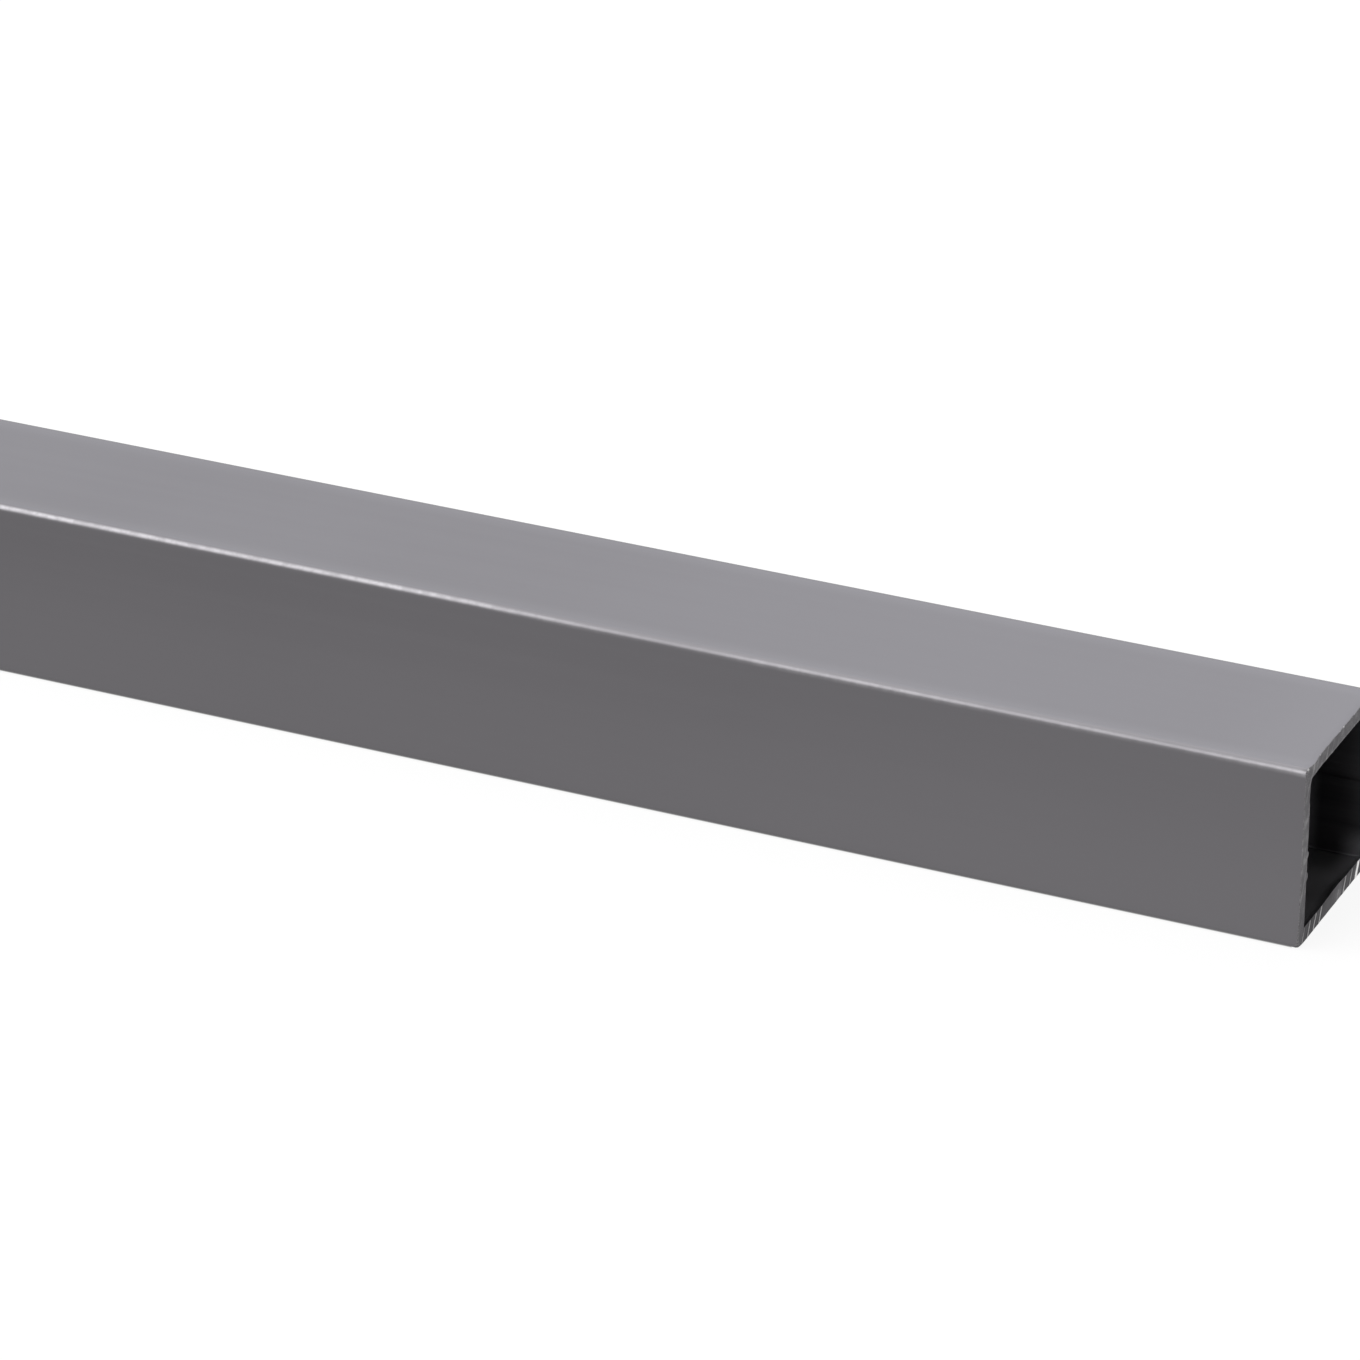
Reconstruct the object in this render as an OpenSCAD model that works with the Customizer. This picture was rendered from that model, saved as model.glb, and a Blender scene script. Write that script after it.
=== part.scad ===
// Square steel tube: one length of seam-welded square hollow section, lying on a flat side.
// Millimetres. The tube runs along X, Z is up, and the origin is the middle of its underside.

/* [Stock] */
// Length of the bar as sold, between its two sawn ends
tube_length = 1000; // [200:50:3000]
// Outside width and height of the square section
tube_side = 20; // [12:1:60]
// Thickness of the strip that the walls are rolled from
wall = 1.5; // [1:0.25:3]

/* [Corners] */
// Outside radius of the four rolled corners
outer_corner_r = 0.7; // [0.3:0.1:3]
// Inside radius of the four rolled corners
inner_corner_r = 0.2; // [0.1:0.1:1.5]

/* [Weld seam] */
// Width of the weld bead where it meets the inner face of the back wall
bead_width = 1.6; // [0.8:0.1:2.4]
// Height that the bead stands into the bore
bead_height = 0.25; // [0.1:0.05:0.4]
// Distance of the seam above the middle of the back wall
seam_offset = 0.8; // [-2:0.1:2]

/* [Hidden] */

// Faces round a full circle
round_fn = 64;

// Clear width and height of the bore between the walls
bore_side = tube_side - 2 * wall;
// The bead's crown is an arc through its crest and its two toes
bead_crown_r = (pow(bead_width / 2, 2) + pow(bead_height, 2)) / (2 * bead_height);
// Height of the middle of the section above the underside
mid_height = tube_side / 2;

// Square outline with round corners, about the middle of the section
module rounded_square(side, corner_r) {
    straight = side - 2 * corner_r;
    half_straight = straight / 2;
    square([side, straight], center = true);
    square([straight, side], center = true);
    for (across = [-half_straight, half_straight], up = [-half_straight, half_straight])
        translate([across, up])
            circle(r = corner_r, $fn = round_fn);
}

// Round body of the weld bead, sunk in the back wall so that only its crown stands in the bore
module bead_outline() {
    crest = bore_side / 2 - bead_height;
    translate([crest + bead_crown_r, seam_offset])
        circle(r = bead_crown_r, $fn = round_fn);
}

// Outline of the hollow: the inner square less the crown of the bead
module bore_outline() {
    difference() {
        rounded_square(bore_side, inner_corner_r);
        bead_outline();
    }
}

// Metal of the section: across is Y and up is Z on the finished tube
module tube_section() {
    difference() {
        rounded_square(tube_side, outer_corner_r);
        bore_outline();
    }
}

// The whole bar, with both ends sawn square
module square_tube() {
    color([0.42, 0.41, 0.43])
        translate([0, 0, mid_height])
            rotate([90, 0, 90])
                linear_extrude(height = tube_length, center = true)
                    tube_section();
}

square_tube();
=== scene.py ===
"""Square steel tube, one length of mill stock: its true section, sawn ends, finishes, studio and camera."""

import logging
import math
from collections.abc import Iterator
from dataclasses import dataclass, field
from enum import Enum
from functools import reduce

import bpy
from mathutils import Matrix, Vector, noise


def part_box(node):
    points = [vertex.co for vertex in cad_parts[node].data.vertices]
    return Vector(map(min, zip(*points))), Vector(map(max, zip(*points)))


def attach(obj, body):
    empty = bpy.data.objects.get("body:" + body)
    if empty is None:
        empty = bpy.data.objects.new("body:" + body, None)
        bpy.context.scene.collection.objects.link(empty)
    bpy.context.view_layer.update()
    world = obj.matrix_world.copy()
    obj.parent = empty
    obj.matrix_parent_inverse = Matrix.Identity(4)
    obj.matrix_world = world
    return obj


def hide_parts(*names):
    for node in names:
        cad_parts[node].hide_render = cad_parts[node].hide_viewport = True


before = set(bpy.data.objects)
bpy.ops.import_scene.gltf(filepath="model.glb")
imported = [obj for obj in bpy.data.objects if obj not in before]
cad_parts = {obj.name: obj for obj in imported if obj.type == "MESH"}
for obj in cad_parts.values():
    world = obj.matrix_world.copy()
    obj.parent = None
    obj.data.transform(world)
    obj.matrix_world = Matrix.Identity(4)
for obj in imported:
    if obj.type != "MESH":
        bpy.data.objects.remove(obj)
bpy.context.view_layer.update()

MM = 0.001
log = logging.getLogger("square_tube")

Span = tuple[float, float]
Colour = tuple[float, float, float, float]
NodeTree = bpy.types.NodeTree
Socket = bpy.types.NodeSocket
Sockets = bpy.types.bpy_prop_collection
WHITE: Colour = (1.0, 1.0, 1.0, 1.0)
# place of a vertex and its tone: 0 for darkest, this much for plain and 1 for brightest, with painted glints
# and painted shade in it
Spot = tuple[Vector, float]
PLAIN = 0.5


# Section and walls


def heading(turn_deg: float) -> Vector:
    """Direction in the section, turned this far from +Y towards +Z, as (across the bar, up)."""
    turn = math.radians(turn_deg)
    return Vector((math.cos(turn), math.sin(turn)))


class Wall(Enum):
    """The four walls of the section, each with the turn of its outward normal from +Y towards +Z."""

    BACK = 0
    TOP = 90
    FRONT = 180
    BOTTOM = 270

    @property
    def normal(self) -> Vector:
        """Outward normal."""
        return heading(self.value)

    @property
    def along(self) -> Vector:
        """Direction in which the section's outline runs along this wall."""
        return Vector((-self.normal.y, self.normal.x))


@dataclass(frozen=True)
class SectionPoint:
    """One place round the section, with its points of the outer face and the bore about the middle."""

    # a corner belongs to the wall before it
    wall: Wall
    # -1 to 1 along the flat of the wall, and beyond 1 on the corner
    share: float
    normal: Vector
    outer: Vector
    inner: Vector
    # whether the coarse outline along the bar keeps it
    kept: bool

    def on(self, wall: Wall) -> float:
        """How much the point belongs to a wall: 1 on its flat, falling to 0 round the corners beside it."""
        return max(0.0, self.normal.dot(wall.normal)) ** 2


@dataclass(frozen=True)
class SquareSection:
    """Real sizes of the rolled section, in metres, and how finely its outline is drawn."""

    side: float = 20.0 * MM
    wall: float = 1.5 * MM
    outer_corner_r: float = 0.7 * MM
    inner_corner_r: float = 0.2 * MM
    bead_width: float = 1.6 * MM
    bead_height: float = 0.25 * MM
    seam_offset: float = 0.8 * MM
    flat_steps: int = 240
    corner_steps: int = 12
    kept_every: int = 10

    @property
    def half(self) -> float:
        """Distance from the middle of the section to an outer face."""
        return self.side / 2

    def bead_at(self, up: float) -> float:
        """Height of the weld bead above the back wall's inner face.

        Args:
            up: Height about the middle of the section.

        Returns:
            Height of the bead's crown there, or 0 beside it.
        """
        half_width = self.bead_width / 2
        crown_r = (half_width**2 + self.bead_height**2) / (2 * self.bead_height)
        off = up - self.seam_offset
        if abs(off) >= half_width:
            return 0.0
        return math.sqrt(crown_r**2 - off**2) - (crown_r - self.bead_height)

    def points(self) -> list[SectionPoint]:
        """The outline as one closed list, anticlockwise seen from the +X end.

        Returns:
            Its points: the flat of each wall, followed by the corner after it.
        """
        bore_half = self.half - self.wall
        outer_flat = self.half - self.outer_corner_r
        inner_flat = bore_half - self.inner_corner_r
        points = []
        for wall in Wall:
            for step in range(self.flat_steps):
                share = 2 * step / self.flat_steps - 1
                bead = self.bead_at(inner_flat * share) if wall is Wall.BACK else 0.0
                outer = wall.normal * self.half + wall.along * outer_flat * share
                inner = wall.normal * (bore_half - bead) + wall.along * (inner_flat * share)
                kept = step % self.kept_every == 0 or bead > 0.0
                points.append(SectionPoint(wall, share, wall.normal, outer, inner, kept))
            for step in range(self.corner_steps):
                share = step / self.corner_steps
                normal = heading(wall.value + 90 * step / self.corner_steps)
                outer = (wall.normal + wall.along) * outer_flat + normal * self.outer_corner_r
                inner = (wall.normal + wall.along) * inner_flat + normal * self.inner_corner_r
                points.append(SectionPoint(wall, 1 + share, normal, outer, inner, True))
        return points


@dataclass(frozen=True)
class RolledFaces:
    """How far the rolled faces lie inside the true square: a slight hollow, long waves and the seam."""

    hollow: float = 0.05 * MM
    wave: float = 0.008 * MM
    wave_lengths: tuple[float, ...] = (41 * MM, 97 * MM, 230 * MM)
    scarf_height: float = 0.8 * MM
    scarf_half_width: float = 1.5 * MM
    scarf_depth: float = 0.012 * MM

    def set_in(self, point: SectionPoint, x: float) -> float:
        """Depth of the outer face below the true square.

        Args:
            point: Place round the section.
            x: Place along the bar.

        Returns:
            Depth, 0 or more.
        """
        if point.share >= 1 or point.share <= -1:
            return 0.0
        crown = 1 - point.share**4
        phase = math.radians(point.wall.value) * 2 + point.share * 2
        waves = sum(math.sin(2 * math.pi * x / length + phase * n)
                    for n, length in enumerate(self.wave_lengths, start=1))
        depth = crown * (self.hollow + self.wave * (1 + waves / len(self.wave_lengths)))
        if point.wall is Wall.BACK and abs(point.outer.y - self.scarf_height) < self.scarf_half_width:
            depth += self.scarf_depth
        return depth


# Sawn ends


def rise(value: float, low: float, high: float) -> float:
    """Smooth step from 0 at one value to 1 at another, which may be the lower of the two."""
    share = min(1.0, max(0.0, (value - low) / (high - low)))
    return share * share * (3 - 2 * share)


def swell(value: float, middle: float, half_width: float) -> float:
    """Round swell that is 1 at its middle and has fallen to about a third at its half width."""
    return math.exp(-((value - middle) / half_width) ** 2)


class Layer(Enum):
    """Layers of a cut's noise, each with its place in it."""

    RAGGED = 0.0
    GRAIN = 1.0
    CLOUD = 3.0
    SWING = 4.0
    WANDER = 5.0
    LIP = 8.75
    SPECK = 16.36


@dataclass(frozen=True)
class BurrLump:
    """A lump of burr on the front wall's bore edge: its middle's height, half length, overhang and tone."""

    up: float
    half_length: float
    lip: float
    tone: float


@dataclass(frozen=True)
class EdgeWear:
    """How one wall's outer edge is broken: least radius, what tears add, tone and the painted glint that
    specks of burr add.
    """

    least: float
    tear: float
    tone: float
    speck_glint: float


@dataclass(frozen=True)
class SawCut:
    """The face that the saw left: slanted tooth marks, torn outer edges and a burr on the bore's edge.

    Places on it are in metres about the middle of the section, with +Z up.
    """

    half: float = SquareSection().half
    # start of its noise, which sets the two cuts apart
    seed: float = 0.0
    # the cut stands this much out of square, with the back wall the longer
    out_of_square: float = 0.23 * MM
    face_depth: float = 0.07 * MM
    # tooth marks: places along the underside, lean of each mark and how the pitch grows
    first_mark: float = -8.92 * MM
    mark_pitch: float = 1.578 * MM
    pitch_growth: float = 0.0166 * MM
    mark_lean: float = 0.42
    # a mark's width and height, how much broader a bright one is, and how far it wanders, in marks
    mark_width: float = 0.17 * MM
    mark_height: float = 0.05 * MM
    broadening: float = 1.2
    wander: float = 0.07
    wander_step: float = 3.1
    wander_length: float = 0.9 * MM
    # the grooves beside it: distance and width, and their strength and depth against the mark's own
    groove: Span = (0.42 * MM, 0.20 * MM)
    groove_strength: float = 1.6
    groove_depth: float = 0.25
    # painted shade in the grooves
    groove_shade: float = 0.16
    # strength of each mark across the bottom wall, from the front corner to the back one, in its height and
    # its painted glint
    bottom_strengths: tuple[float, ...] = (0.42, 0.6, 0.62, 0.66, 0.04, 0.06, 0.05, 0.58, 0.56, 1.5, 0.5)
    # strength of the marks on the other walls, least share of it, and steps of its noise by mark and by turn
    faint: float = 0.14
    faint_least: float = 0.3
    faint_steps: Span = (1.7, 0.31)
    faint_length: float = 4 * MM
    # grain along the marks, and soft clouds of tone
    grain_height: float = 0.006 * MM
    grain_length: float = 2.5 * MM
    grains_in_pitch: float = 9.0
    cloud_tone: float = 0.06
    cloud_size: float = 0.9 * MM
    # tone of the plain metal, and how much lighter it is in places, with the place and reach of that
    plain_tone: float = 0.49
    lightening: float = 0.04
    lightened: Span = (0.8 * MM, 4.4 * MM)
    # the same on the bottom wall, whose cut is painted darker for the shade that falls there, and the depths
    # below the outer face at which a wall's inner part begins
    bottom_shaded_tone: float = 0.34
    bottom_lightening: float = 0.20
    bottom_lightened: Span = (1.6 * MM, 1.7 * MM)
    inner_part: Span = (1.05 * MM, 1.45 * MM)
    # how much darker the bottom wall's cut is towards the bore
    inner_darkening: float = 0.06
    # outer edges in the order of the walls: back, top, front and bottom
    edges: tuple[EdgeWear, ...] = (
        EdgeWear(least=0.04 * MM, tear=0.08 * MM, tone=0.50, speck_glint=0.10),
        EdgeWear(least=0.01 * MM, tear=0.08 * MM, tone=0.54, speck_glint=0.15),
        EdgeWear(least=0.05 * MM, tear=0.03 * MM, tone=0.54, speck_glint=0.03),
        EdgeWear(least=0.05 * MM, tear=0.03 * MM, tone=0.42, speck_glint=0.0),
    )
    # scallops of the tears: their pitch, its unevenness in radians, their raggedness and the specks on them
    tear_pitch: float = 2.35 * MM
    tear_swing: float = 2.5
    tear_swing_length: float = 5 * MM
    raggedness: float = 0.35
    ragged_size: float = 0.5 * MM
    speck_size: float = 0.55 * MM
    speck_levels: Span = (0.3, 0.55)
    # burr by the high front corner, and how far that corner and the low one are broken, with their reaches
    corner_burr: float = 0.18 * MM
    corner_burr_at: Span = (-8.2 * MM, 9.8 * MM)
    corner_burr_reach: float = 1.6 * MM
    corner_burr_shine: float = 0.07
    high_front_break: float = 0.10 * MM
    low_front_break: float = 0.29 * MM
    front_reaches: Span = (0.9 * MM, 1.2 * MM)
    # burr on the bore's edge: along the bottom, fat on a stretch of it, and down the front from these heights
    bottom_lip: float = 0.24 * MM
    fat_lip: float = 0.18 * MM
    fat_stretch: Span = (1.0 * MM, 2.6 * MM)
    front_lip: float = 0.14 * MM
    front_lip_from: Span = (17 * MM, 13.5 * MM)
    lip_raggedness: float = 0.03 * MM
    lip_ragged_size: float = 0.8 * MM
    # its tone, how that varies, and how much lighter it is at the top and darker at the bottom
    lip_tone: float = 0.46
    lip_tone_swing: float = 0.10
    lip_tone_top: float = 0.08
    lip_tone_bottom: float = 0.10
    lumps: tuple[BurrLump, ...] = (
        BurrLump(up=14.9 * MM, half_length=1.0 * MM, lip=0.08 * MM, tone=0.66),
        BurrLump(up=9.95 * MM, half_length=0.38 * MM, lip=0.42 * MM, tone=0.60),
        BurrLump(up=7.50 * MM, half_length=0.50 * MM, lip=0.47 * MM, tone=0.58),
    )

    def _noise(self, first: float, second: float, layer: Layer) -> float:
        """Smooth noise of this cut in one layer, about -1 to 1."""
        return noise.noise(Vector((first, second, layer.value + self.seed)))

    def _spots(self, place: Vector, size: float, layer: Layer) -> float:
        """Smooth noise of this cut in one layer, in spots of this size, about -1 to 1."""
        return self._noise(place.x / size, place.y / size, layer)

    def _by_burr(self, place: Vector) -> float:
        """Nearness of the burr by the high front corner, 1 on it and falling to 0."""
        return swell((place - Vector(self.corner_burr_at)).length, 0.0, self.corner_burr_reach)

    def set_back(self, place: Vector) -> float:
        """How far the cut, being out of square, lies behind the bar's true end at one place."""
        square = self.out_of_square * (self.half - place.x) / (2 * self.half)
        return square - self.corner_burr * self._by_burr(place)

    def _cross(self, place: Vector) -> float:
        """Place across the marks.

        Args:
            place: Point of the section.

        Returns:
            0 on the first mark, 1 on the next and so on.
        """
        run = place.x - (place.y + self.half) * self.mark_lean - self.first_mark
        root = self.mark_pitch**2 + 4 * self.pitch_growth * run
        return (math.sqrt(max(root, 0.0)) - self.mark_pitch) / (2 * self.pitch_growth)

    def _mark(self, wall: Wall, place: Vector) -> Span:
        """The tooth mark nearest to one place.

        Args:
            wall: Wall that the place is on.
            place: Point of the section.

        Returns:
            Strength of its crest there, and of the grooves beside it.
        """
        cross = self._cross(place)
        number = round(cross)
        if wall is Wall.BOTTOM and 0 <= number < len(self.bottom_strengths):
            strength = self.bottom_strengths[number]
        else:
            by_mark, by_turn = self.faint_steps
            run = place.dot(wall.along) / self.faint_length + self.seed
            uneven = noise.noise(Vector((number * by_mark, wall.value * by_turn, run)))
            strength = max(0.0, self.faint * (self.faint_least + uneven))
        wandering = self._noise(number * self.wander_step, place.y / self.wander_length, Layer.WANDER)
        wander = self.wander * wandering
        off = abs(cross - number - wander) * (self.mark_pitch + 2 * self.pitch_growth * cross)
        width = self.mark_width * (1 + self.broadening * min(1.0, strength) ** 6)
        groove = min(1.0, self.groove_strength * strength) * swell(off, *self.groove)
        return strength * swell(off, 0.0, width), groove

    def face(self, wall: Wall, place: Vector) -> Span:
        """The sawn face: fresh metal on the marks with painted glints on it, and painted shade in the grooves
        beside them.

        Args:
            wall: Wall that the place is on.
            place: Point of the section.

        Returns:
            Depth of the face below the cut's plane, 0 or more, and its tone, with painted glints and shade.
        """
        start, end = self.inner_part
        if wall is Wall.BOTTOM:
            # painted shade: the bottom wall's cut is darker
            tone = self.bottom_shaded_tone + self.bottom_lightening * swell(place.x, *self.bottom_lightened)
            tone -= self.inner_darkening * rise(place.y, start - self.half, end - self.half)
        elif wall is Wall.TOP:
            tone = self.plain_tone + self.lightening * rise(place.y, self.half - start, self.half - end)
        else:
            tone = self.plain_tone + self.lightening * swell(place.y, *self.lightened)
        crest, groove = self._mark(wall, place)
        tone += self.cloud_tone * self._spots(place, self.cloud_size, Layer.CLOUD)
        # painted shade in the grooves
        tone -= self.groove_shade * groove
        tone += self.corner_burr_shine * self._by_burr(place) ** 4
        grains = self._cross(place) * self.grains_in_pitch
        grain = self._noise(grains, place.y / self.grain_length, Layer.GRAIN)
        relief = self.mark_height * (crest - self.groove_depth * groove) + self.grain_height * grain
        # painted glints on the marks' crests
        return max(0.0, self.face_depth - relief), min(1.0, max(0.0, tone + (1 - tone) * crest))

    def outer_edge(self, point: SectionPoint) -> Span:
        """The broken outer edge: scalloped along the walls, worst at the front corners, with specks of burr
        that carry painted glints.

        Args:
            point: Place round the section.

        Returns:
            Radius of the broken edge, and brightness of its metal.
        """
        x, y = point.outer
        swing = self.tear_swing * self._noise((x + y) / self.tear_swing_length, 0.0, Layer.SWING)
        wave = math.cos(2 * math.pi * (x + y) / self.tear_pitch + swing)
        ragged = self._spots(point.outer, self.ragged_size, Layer.RAGGED)
        bite = (0.5 - 0.5 * wave) * (1 - self.raggedness + self.raggedness * ragged)
        speck_glint = rise(self._spots(point.outer, self.speck_size, Layer.SPECK), *self.speck_levels)
        chip = sum(point.on(wall) * (edge.least + edge.tear * bite) for wall, edge in zip(Wall, self.edges))
        tone = sum(point.on(wall) * (edge.tone + edge.speck_glint * speck_glint) for wall, edge in zip(Wall, self.edges))
        if x < 0 and y < 0:
            chip += self.low_front_break * swell(x - y, 0.0, self.front_reaches[1])
        if x < 0 and y > 0:
            chip += self.high_front_break * swell(x + y, 0.0, self.front_reaches[0])
        return chip, tone

    def inner_edge(self, point: SectionPoint) -> Span:
        """Burr on the bore's edge, dragged down by the saw: most on the bottom wall and none on the top.

        Args:
            point: Place round the section.

        Returns:
            How far the burr hangs into the bore, and brightness of its metal.
        """
        up = point.inner.y + self.half
        ragged = self._spots(point.inner, self.lip_ragged_size, Layer.LIP)
        fat = self.fat_lip * swell(point.inner.x, *self.fat_stretch)
        lip = point.on(Wall.BOTTOM) * (self.bottom_lip + fat)
        lip += point.on(Wall.FRONT) * self.front_lip * rise(up, *self.front_lip_from)
        lip = max(0.0, lip + self.lip_raggedness * ragged)
        tone = self.lip_tone + self.lip_tone_swing * ragged
        tone += self.lip_tone_top * point.on(Wall.TOP)
        tone -= self.lip_tone_bottom * point.on(Wall.BOTTOM)
        if point.wall is Wall.FRONT:
            for lump in self.lumps:
                near = math.exp(-((up - lump.up) / lump.half_length) ** 4)
                lip = max(lip, lump.lip * near)
                tone = max(tone, lump.tone * near)
        return lip, tone


def far_cut() -> SawCut:
    """The cut of the end that is out of sight: finer marks, less burr and nearer to square.

    Returns:
        The cut.
    """
    return SawCut(
        seed=40.0,
        out_of_square=0.10 * MM,
        first_mark=-9.6 * MM,
        mark_pitch=1.22 * MM,
        pitch_growth=0.010 * MM,
        mark_lean=0.35,
        bottom_strengths=(0.2, 0.45, 0.3, 0.06, 0.35, 0.55, 0.4, 0.1, 0.05, 0.3, 0.52, 0.42, 0.15, 0.3),
        corner_burr=0.05 * MM,
        high_front_break=0.06 * MM,
        low_front_break=0.12 * MM,
        fat_lip=0.12 * MM,
        fat_stretch=(-4.0 * MM, 2.6 * MM),
        lumps=(BurrLump(up=12.2 * MM, half_length=0.6 * MM, lip=0.22 * MM, tone=0.56),),
        lightened=(-2.5 * MM, 4.4 * MM),
    )


# The bar


class Slot(Enum):
    """Material slots of the bar's mesh."""

    ROLLED = 0
    SAWN = 1
    BORE = 2


@dataclass
class Ring:
    """One loop of vertices by their numbers round the section, and the finish of the faces after it."""

    spots: dict[int, Spot]
    finish: Slot


@dataclass
class TubeStock:
    """The whole bar as one closed mesh: outer faces, bore and both sawn ends."""

    low: Vector
    high: Vector
    section: SquareSection = field(default_factory=SquareSection)
    faces: RolledFaces = field(default_factory=RolledFaces)
    near_cut: SawCut = field(default_factory=SawCut)
    far_cut: SawCut = field(default_factory=far_cut)
    outer_station: float = 8.0 * MM
    bore_station: float = 20.0 * MM
    # distances of the close rings from each end, outside and in the bore
    outer_close: tuple[float, ...] = (0.9 * MM, 1.2 * MM, 1.8 * MM)
    bore_close: tuple[float, ...] = (0.2 * MM, 0.35 * MM, 0.6 * MM, 1.2 * MM)
    bore_break: float = 0.03 * MM
    burr_reach: float = 0.35 * MM
    # turns of the rings of the round outer edge, from the rolled faces to the cut
    edge_turns_deg: tuple[float, ...] = (0, 30, 60)
    face_rows: int = 14
    sharp_deg: float = 32
    name: str = "square_tube_stock"

    def __post_init__(self) -> None:
        """Works out the outline and the middle of the section."""
        self.outline = self.section.points()
        self.middle = Vector(((self.low.y + self.high.y) / 2, (self.low.z + self.high.z) / 2))

    def build(self) -> bpy.types.Object:
        """Makes the mesh object.

        Returns:
            The bar, at the origin, with its vertices in the frame.
        """
        rings = [*self._outer_rings(), *self._end_rings(1), *self._bore_rings(), *self._end_rings(-1)]
        bar = bpy.data.objects.new(self.name, self._stitch(rings))
        bpy.context.scene.collection.objects.link(bar)
        return bar

    def dress(self, bar: bpy.types.Object) -> None:
        """Gives the bar its finishes, in the order of its material slots.

        Args:
            bar: The mesh object.
        """
        half_length, _, half_side = (self.high - self.low) / 2
        effects = Effects()
        for finish in (MillSteel, SawnSteel, BoreScale):
            bar.data.materials.append(finish(effects, half_side, half_length).material)

    def _cut(self, facing: int) -> SawCut:
        """The cut of one end: 1 for the +X end, -1 for the -X end."""
        return self.far_cut if facing < 0 else self.near_cut

    def _place(self, x: float, across: Vector) -> Vector:
        """Place in the frame of a point of the section, this far along the bar."""
        return Vector((x, self.middle.x + across.x, self.middle.y + across.y))

    def _numbered(self, near_end: int) -> Iterator[tuple[int, SectionPoint]]:
        """Points of the outline with their numbers: all of them near an end, and else the kept ones."""
        return ((number, point) for number, point in enumerate(self.outline) if near_end or point.kept)

    def _stations(self, spacing: float, close: tuple[float, ...]) -> list[tuple[float, int]]:
        """Places of the rings along one face of the bar, from the -X end to the +X end.

        Args:
            spacing: Distance between the rings of the long run, about.
            close: Distances of the close rings from each end.

        Returns:
            Place of each ring and the end that it is close to: 1 for +X, -1 for -X, 0 for neither.
        """
        first, last = self.low.x + close[-1], self.high.x - close[-1]
        count = round((last - first) / spacing)
        margin = close[-1] * 2
        run = [first + margin + (last - first - 2 * margin) * n / count for n in range(count + 1)]
        left = [(self.low.x + d, -1) for d in close]
        right = [(self.high.x - d, 1) for d in reversed(close)]
        return [*left, *((x, 0) for x in run), *right]

    def _outer_rings(self) -> list[Ring]:
        """Makes the rings of the rolled faces.

        Returns:
            The rings, from the -X end to the +X end.
        """
        rings = []
        for x, near_end in self._stations(self.outer_station, self.outer_close):
            spots = {}
            for number, point in self._numbered(near_end):
                inward = point.normal * self.faces.set_in(point, x)
                back = near_end * self._cut(near_end).set_back(point.outer)
                spots[number] = self._place(x - back, point.outer - inward), PLAIN
            rings.append(Ring(spots, Slot.ROLLED))
        return rings

    def _bore_rings(self) -> list[Ring]:
        """Makes the rings of the bore.

        Returns:
            The rings, from the +X end to the -X end.
        """
        rings = []
        for x, near_end in reversed(self._stations(self.bore_station, self.bore_close)):
            cut = self._cut(near_end)
            fade = swell(min(self.high.x - x, x - self.low.x), 0.0, self.burr_reach)
            spots = {}
            for number, point in self._numbered(near_end):
                lip, tone = cut.inner_edge(point)
                back = near_end * cut.set_back(point.inner)
                place = self._place(x - back, point.inner - point.normal * lip * fade)
                spots[number] = place, PLAIN + (tone - PLAIN) * fade
            rings.append(Ring(spots, Slot.BORE))
        return rings

    def _end_rings(self, facing: int) -> list[Ring]:
        """Rings of one sawn end, from its outer edge to the bore on the +X end and back on the other.

        Args:
            facing: 1 for the +X end, -1 for the -X end.

        Returns:
            The rings in the order in which they follow the faces before them.
        """
        columns = [self._column(facing, point) for point in self.outline]
        rings = [Ring(dict(enumerate(spots)), Slot.SAWN) for spots in zip(*columns)][::facing]
        rings[-1].finish = Slot.BORE if facing > 0 else Slot.ROLLED
        return rings

    def _column(self, facing: int, point: SectionPoint) -> list[Spot]:
        """Vertices across one sawn end at one place round the section, from its outer edge to the bore.

        Args:
            facing: 1 for the +X end, -1 for the -X end.
            point: Place round the section.

        Returns:
            The spots: the round outer edge, the face's rows and the bore's edge.
        """
        cut = self._cut(facing)
        end_x = self.high.x if facing > 0 else self.low.x
        chip, edge_tone = cut.outer_edge(point)
        lip, lip_tone = cut.inner_edge(point)
        set_in = self.faces.set_in(point, end_x)
        column = []
        for turn in map(math.radians, self.edge_turns_deg):
            place = point.outer - point.normal * (set_in + chip * (1 - math.cos(turn)))
            tone = cut.face(point.wall, Vector((place.x * facing, place.y)))[1]
            back = cut.face_depth + chip * (1 - math.sin(turn)) + cut.set_back(point.outer)
            column.append((self._place(end_x - facing * back, place), max(tone, edge_tone)))
        outer = point.outer - point.normal * (set_in + chip)
        inner = point.inner + point.normal * (self.bore_break - lip)
        least_tones = {0: edge_tone, self.face_rows: lip_tone}
        for row in range(self.face_rows + 1):
            place = outer.lerp(inner, row / self.face_rows)
            depth, tone = cut.face(point.wall, Vector((place.x * facing, place.y)))
            place_x = end_x - facing * (depth + cut.set_back(place))
            column.append((self._place(place_x, place), max(tone, least_tones.get(row, 0.0))))
        back = cut.face_depth + self.bore_break + cut.set_back(point.inner)
        column.append((self._place(end_x - facing * back, point.inner - point.normal * lip), lip_tone))
        return column

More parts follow.
